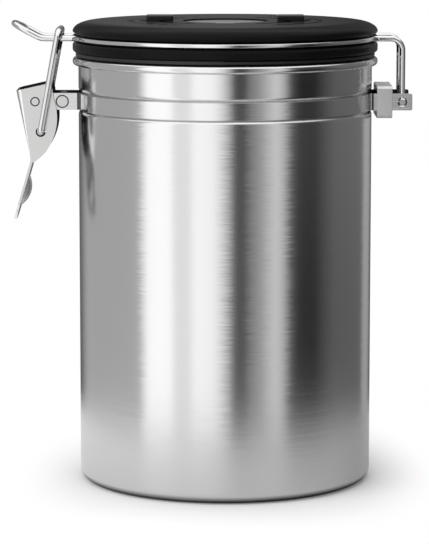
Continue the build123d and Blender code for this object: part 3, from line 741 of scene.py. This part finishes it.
class CANISTER_OT_lid_wire(bpy.types.Operator):
    """Models the lid's wire: loop, ring round the lid, legs and hinge pins"""

    bl_idname = "canister.lid_wire"
    bl_label = "Lid wire"

    def execute(self, context):
        size = context.scene.canister_lid_wire
        top = size.height + (size.loop_reach - size.loop_start) * tan(size.loop_rise)
        reach = size.ring + size.ring_bend

        def bend_centre(offset):
            """Centre of the bend by which the ring turns straight, at an offset from the middle."""
            return sqrt(reach ** 2 - (offset + size.ring_bend) ** 2), offset + size.ring_bend

        loop_bend, leg_bend = bend_centre(size.loop_width), bend_centre(size.leg)
        loop_angle, leg_angle = atan2(loop_bend[1], loop_bend[0]), atan2(leg_bend[1], leg_bend[0])
        start = (-size.loop_reach, 0, top)
        wire = start_wire("lid_wire_bent", start, size.size)
        here = bent_wire(
            start,
            [
                (-size.loop_reach, -size.loop_width, top),
                (-size.loop_start, -size.loop_width, size.height),
                (-loop_bend[0], -size.loop_width, size.height),
            ],
            [size.loop_end_bend, size.loop_bend],
        )
        upright = (0, 0, 1)
        here = bend_wire(here, (-loop_bend[0], -loop_bend[1], size.height), upright, loop_angle - pi / 2)
        here = bend_wire(here, (0, 0, size.height), upright, pi - loop_angle - leg_angle)
        here = bend_wire(here, (leg_bend[0], -leg_bend[1], size.height), upright, leg_angle - pi / 2)
        here = bent_wire(
            here,
            [
                (size.hinge_reach, -size.leg, size.height),
                (size.hinge_reach, -size.leg, size.hinge_height),
                (size.hinge_reach, -size.pin_start, size.hinge_height),
            ],
            [size.corner_bend, size.pin_bend],
        )
        scale = size.pin_radius / (size.size / 2)
        bpy.ops.mesh.extrude_region_move(TRANSFORM_OT_translate={"value": (0, 0, 0)})
        bpy.ops.transform.resize(value=(scale, 1, scale), center_override=here)
        pin_end = here.y - size.pin_length + size.pin_chamfer
        here = run_wire(here, (size.hinge_reach, pin_end, size.hinge_height))
        tip = 1 - size.pin_chamfer / size.pin_radius
        bpy.ops.mesh.extrude_region_move(TRANSFORM_OT_translate={"value": (0, -size.pin_chamfer, 0)})
        bpy.ops.transform.resize(value=(tip, 1, tip), center_override=here)
        mirror_wire(wire)
        hand_over(wire, "lid", "lid_wire")
        return {"FINISHED"}


class CANISTER_OT_bail(bpy.types.Operator):
    """Models the latch bail: bar, two legs and the ends in the lever's holes"""

    bl_idname = "canister.bail"
    bl_label = "Latch bail"

    def execute(self, context):
        size = context.scene.canister_bail
        bar = size.hole_reach - (size.top - size.hole_height) * tan(size.lean)
        start = (-bar, 0, size.top)
        bail = start_wire("latch_bail_bent", start, size.size)
        bent_wire(
            start,
            [
                (-bar, -size.side, size.top),
                (-size.hole_reach, -size.side, size.hole_height),
                (-size.hole_reach, size.end - size.side, size.hole_height),
            ],
            [size.top_bend, size.end_bend],
        )
        mirror_wire(bail)
        hand_over(bail, "latch_bail", "latch_bail")
        return {"FINISHED"}


class CANISTER_OT_steelwork(bpy.types.Operator):
    """Eases the edges of the band, clip, lever and rivets, as tumbling leaves them"""

    bl_idname = "canister.steelwork"
    bl_label = "Band, clip, lever and rivets"

    # Node, piece, body, finish slot, and how far its edges are eased
    pieces = (
        ("front_band", "front_band_strap", "root", "band_steel", 0.12 * MM),
        ("rear_band", "rear_band_strap", "root", "band_steel", 0.12 * MM),
        ("band_clip", "band_clip_sleeve", "root", "band_steel", 0.12 * MM),
        ("band_rivet", "band_rivet_headed", "root", "rivet_steel", 0.15 * MM),
        ("lever_rivet", "lever_rivet_headed", "root", "rivet_steel", 0.15 * MM),
        ("latch_lever", "latch_lever_pressed", "latch_lever", "lever_steel", 0.15 * MM),
    )
    # Bend and least length of the lever's outer folds
    fold_bend, fold_least = 2.0 * MM, 20 * MM

    def execute(self, context):
        for node, name, body, slot, width in self.pieces:
            # A flat face round an opening, as at the ends of the sleeve, can't be joined into one
            made = copy_of(node, name, join=node != "band_clip")
            if node == "latch_lever":
                round_folds(made, self.fold_bend, self.fold_least)
            ease_edges(made, width)
            hand_over(made, body, node)
        return {"FINISHED"}


class CANISTER_OT_numerals(bpy.types.Operator):
    """Raises the month and day numbers on the lid beside the sliders"""

    bl_idname = "canister.numerals"
    bl_label = "Date numbers"

    # Size of the type for a digit of height one
    type_size = 1.4

    def execute(self, context):
        size = context.scene.canister_numerals
        # Polished in the tool, so the numbers gleam on the satin lid
        polished = plain_finish(
            "polished_black_polypropylene", context.scene.canister_finish.lid, 0.0, 0.12, 2, 0.002)
        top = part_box("lid_cap")[1].z
        rings = (
            ("month_numbers", 12, size.month_size, size.month_start, size.month_step),
            ("day_numbers", 31, size.day_size, size.day_start, size.day_step),
        )
        for name, count, height, start, step in rings:
            numbers = []
            for number in range(count):
                angle = start + number * step
                deselect()
                place = (size.circle * cos(angle), size.circle * sin(angle), top - size.relief)
                bpy.ops.object.text_add(location=place, rotation=(0, 0, angle - pi / 2))
                text = context.object.data
                text.body = str(number + 1)
                text.size = height * self.type_size
                text.align_x = "CENTER"
                text.align_y = "CENTER"
                text.extrude = size.relief * 2
                text.resolution_u = 3
                bpy.ops.object.convert(target="MESH")
                numbers.append(context.object)
            select_only(numbers[0])
            for made in numbers:
                made.select_set(True)
            bpy.ops.object.join()
            bpy.ops.object.transform_apply(location=True, rotation=True, scale=True)
            made = context.object
            made.name = name
            made.data.materials.append(polished)
            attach(made, "lid")
        return {"FINISHED"}


class CANISTER_OT_stage(bpy.types.Operator):
    """Adds the pale floor, the studio room, the softbox and the camera"""

    bl_idname = "canister.stage"
    bl_label = "Stage"

    # Cards and softboxes round the canister: share of a full turn from behind it, past its left side,
    # the camera at 0.5 and its right side, and how bright the room is there
    room_stops = (
        (0.034, 0.0), (0.036, 0.10), (0.06, 0.10), (0.08, 0.19), (0.115, 0.34), (0.30, 0.36),
        (0.325, 1.0), (0.38, 1.0), (0.39, 0.72), (0.42, 0.72), (0.435, 0.95), (0.475, 0.90),
        (0.492, 0.68), (0.509, 0.36), (0.52, 0.05), (0.541, 0.05), (0.55, 0.16), (0.575, 0.29),
        (0.60, 0.50), (0.612, 0.58), (0.628, 0.42), (0.646, 0.05), (0.665, 0.008), (0.705, 0.008),
        (0.735, 0.05), (0.765, 0.085), (0.875, 0.10), (0.895, 0.30), (0.93, 0.26), (0.95, 0.09),
        (0.968, 0.09), (0.97, 0.0),
    )
    # The same for the part behind the canister, where 0.5 is straight behind it and less is to the right
    back_stops = (
        (0.47, 0.0), (0.472, 0.08), (0.4875, 0.04), (0.49, 0.01), (0.4945, 0.01), (0.4965, 0.20),
        (0.51, 0.20), (0.52, 0.10), (0.53, 0.10), (0.534, 0.0),
    )
    # Heights of a ray's direction between which the white ceiling starts, for the table top and dull
    # surfaces, and for bright steel, which mirrors it further down
    ceiling_lit, ceiling_mirrored = (0.70, 0.95), (0.54, 0.74)

    def execute(self, context):
        studio = context.scene.canister_studio
        scene = context.scene
        scene.view_settings.view_transform = "Standard"
        camera_data = bpy.data.cameras.new("camera")
        camera_data.lens = studio.lens
        camera_data.sensor_width = 36
        camera = bpy.data.objects.new("camera", camera_data)
        camera.location = (-studio.camera_aside, -studio.camera_back, studio.camera_height)
        camera.rotation_euler = (pi / 2 - studio.camera_tilt, 0, 0)
        scene.collection.objects.link(camera)
        scene.camera = camera
        self.add_room(scene, studio)
        self.add_floor(scene.canister_finish)
        self.add_key(scene, studio)
        return {"FINISHED"}

    def add_room(self, scene, studio):
        """World that is white to the camera and a ring of cards and softboxes to everything else."""
        world = bpy.data.worlds.new("studio_room")
        scene.world = world
        world.use_nodes = True
        tree = world.node_tree
        tree.nodes.clear()
        place = add_node(tree, "TexCoord").outputs["Generated"]
        split = add_node(tree, "SeparateXYZ", {"Vector": place})
        upward = split.outputs["Z"]
        front = add_node(tree, "Math", {0: split.outputs["Y"], 1: -1.0}, operation="MULTIPLY")
        turn = add_node(tree, "Math", {0: split.outputs["X"], 1: front}, operation="ARCTAN2")
        share = add_node(tree, "MapRange", {"Value": turn, "From Min": -pi, "From Max": pi})
        ring = add_node(tree, "ValToRGB", {"Fac": share})
        set_ramp(ring.color_ramp, self.room_stops)
        half_turn = add_node(tree, "Math", {0: share, 1: 0.5}, operation="ADD")
        back_share = add_node(tree, "Math", {0: half_turn}, operation="FRACT")
        back = add_node(tree, "ValToRGB", {"Fac": back_share})
        set_ramp(back.color_ramp, self.back_stops)
        # The right side of the room grows lighter from the table top upwards
        rise = add_node(
            tree, "MapRange", {"Value": upward, "From Min": -0.135, "From Max": -0.05, "To Max": 0.04})
        right = add_node(tree, "MapRange", {"Value": share, "From Min": 0.58, "From Max": 0.63})
        lift = add_node(tree, "Math", {0: rise, 1: right}, operation="MULTIPLY")
        walls = add_node(tree, "VectorMath", {0: ring, 1: back}, operation="ADD")
        walls = add_node(tree, "VectorMath", {0: walls, 1: lift}, operation="ADD")
        lit, mirrored = (
            add_node(
                tree, "MapRange", {"Value": upward, "From Min": start, "From Max": end},
                interpolation_type="SMOOTHSTEP")
            for start, end in (self.ceiling_lit, self.ceiling_mirrored))
        ray = add_node(tree, "LightPath")
        ceiling = add_node(tree, "Mix", {0: ray.outputs["Is Glossy Ray"], 2: lit, 3: mirrored})
        room = add_node(tree, "Mix", {0: ceiling, 6: walls, 7: WHITE}, data_type="RGBA").outputs[2]
        light = add_node(tree, "Background", {"Color": room, "Strength": studio.world_strength})
        seen = add_node(tree, "Background", {"Color": WHITE, "Strength": 1.0})
        mixed = add_node(tree, "MixShader", {0: ray.outputs["Is Camera Ray"], 1: light, 2: seen})
        add_node(tree, "OutputWorld", {"Surface": mixed})

    def add_floor(self, finish):
        """Round pale table top that keeps the canister's shadow and fades into the white room."""
        bpy.ops.mesh.primitive_circle_add(vertices=96, radius=320 * MM, fill_type="TRIFAN")
        floor = bpy.context.object
        floor.name = "floor"
        # Laminate pressed against a matt plate: it takes the soft shadow and mirrors next to nothing
        material, tree, shader = new_material("matt_white_laminate")
        shader.inputs["Roughness"].default_value = 0.5
        shader.inputs["Specular IOR Level"].default_value = 0.25
        shader.inputs["Emission Color"].default_value = WHITE
        place = add_node(tree, "TexCoord").outputs["Object"]
        reach = add_node(tree, "VectorMath", {0: place}, operation="LENGTH").outputs["Value"]
        camera_ray = add_node(tree, "LightPath").outputs["Is Camera Ray"]
        other_ray = add_node(tree, "Math", {0: 1.0, 1: camera_ray}, operation="SUBTRACT")
        # In reflections the table top has painted light on the lamp's side and a painted shadow under the
        # foot
        side = add_node(tree, "SeparateXYZ", {"Vector": place})
        slope = add_node(
            tree, "MapRange",
            {"Value": side, "From Min": -120 * MM, "From Max": 120 * MM, "To Min": 1.0, "To Max": 0.58})
        under = add_node(
            tree, "MapRange",
            {"Value": reach, "From Min": 58 * MM, "From Max": 63 * MM, "To Min": 0.15, "To Max": 1.0})
        mirrored = add_node(tree, "Math", {0: slope, 1: under}, operation="MULTIPLY")
        tone = add_node(
            tree, "Mix", {0: camera_ray, 6: mirrored, 7: linear(finish.table)}, data_type="RGBA")
        tree.links.new(tone.outputs[2], shader.inputs["Base Color"])
        # Contact shadow: the lift of the table top fades out under and close to the foot
        contact = add_node(tree, "AmbientOcclusion", {"Distance": 55 * MM}, samples=16).outputs["AO"]
        near = add_node(
            tree, "MapRange",
            {"Value": contact, "From Min": 0.5, "From Max": 0.95, "To Min": 0.12, "To Max": 0.36})
        lift = add_node(tree, "Math", {0: camera_ray, 1: near}, operation="MULTIPLY")
        tree.links.new(lift.outputs[0], shader.inputs["Emission Strength"])
        # The visible part of the table top reaches further to the front than to the sides
        stretched = add_node(tree, "VectorMath", {0: place, 1: (1.3, 0.66, 1.0)}, operation="MULTIPLY")
        oval = add_node(tree, "VectorMath", {0: stretched}, operation="LENGTH").outputs["Value"]

        def faded(near_shader, far_shader, distance, start, end, ray):
            """Shader that turns into another with the distance, for one kind of ray."""
            fade = add_node(
                tree, "MapRange", {"Value": distance, "From Min": start, "From Max": end},
                interpolation_type="SMOOTHSTEP")
            amount = add_node(tree, "Math", {0: fade, 1: ray}, operation="MULTIPLY")
            return add_node(tree, "MixShader", {0: amount, 1: near_shader, 2: far_shader})

        clear = add_node(tree, "BsdfTransparent")
        glow = add_node(tree, "Emission", {"Color": WHITE, "Strength": 1.0})
        open_edge = faded(shader, clear, reach, 130 * MM, 230 * MM, other_ray)
        white_edge = faded(open_edge, glow, oval, 74 * MM, 118 * MM, camera_ray)
        output = next(node for node in tree.nodes if node.type == "OUTPUT_MATERIAL")
        tree.links.new(white_edge.outputs[0], output.inputs["Surface"])
        floor.data.materials.append(material)

    def add_key(self, scene, studio):
        """Softbox at the upper left, which throws the soft shadow to the right."""
        light = bpy.data.lights.new("key", "AREA")
        light.energy = studio.key_power
        light.size = studio.key_size
        key = bpy.data.objects.new("key", light)
        key.location = Vector((-900, -600, 1100)) * MM
        aim = Vector((0, 0, 80)) * MM
        key.rotation_euler = (aim - key.location).to_track_quat("-Z", "Y").to_euler()
        key.visible_glossy = False
        scene.collection.objects.link(key)


class CANISTER_PT_panel(bpy.types.Panel):
    """Lists the canister's operators."""

    bl_idname = "CANISTER_PT_panel"
    bl_label = "Coffee canister"
    bl_space_type = "VIEW_3D"
    bl_region_type = "UI"
    bl_category = "Canister"

    def draw(self, context):
        for operator in OPERATORS:
            self.layout.operator(operator.bl_idname)


OPERATORS = (
    CANISTER_OT_finish, CANISTER_OT_shell, CANISTER_OT_lid_wire, CANISTER_OT_bail, CANISTER_OT_steelwork,
    CANISTER_OT_numerals, CANISTER_OT_stage,
)
SETTINGS = {
    "canister_shell": CanisterShellSizes,
    "canister_lid_wire": LidWireSizes,
    "canister_bail": LatchBailSizes,
    "canister_numerals": LidNumeralSizes,
    "canister_finish": CanisterFinish,
    "canister_studio": CanisterStudio,
}


def register():
    for made in (*SETTINGS.values(), *OPERATORS, CANISTER_PT_panel):
        bpy.utils.register_class(made)
    for name, group in SETTINGS.items():
        setattr(bpy.types.Scene, name, bpy.props.PointerProperty(type=group))


def unregister():
    for name in SETTINGS:
        delattr(bpy.types.Scene, name)
    for made in (CANISTER_PT_panel, *reversed(OPERATORS), *SETTINGS.values()):
        bpy.utils.unregister_class(made)


def main():
    """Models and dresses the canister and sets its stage."""
    register()
    for operator in OPERATORS:
        group, name = operator.bl_idname.split(".")
        getattr(getattr(bpy.ops, group), name)()


if __name__ == "__main__":
    main()
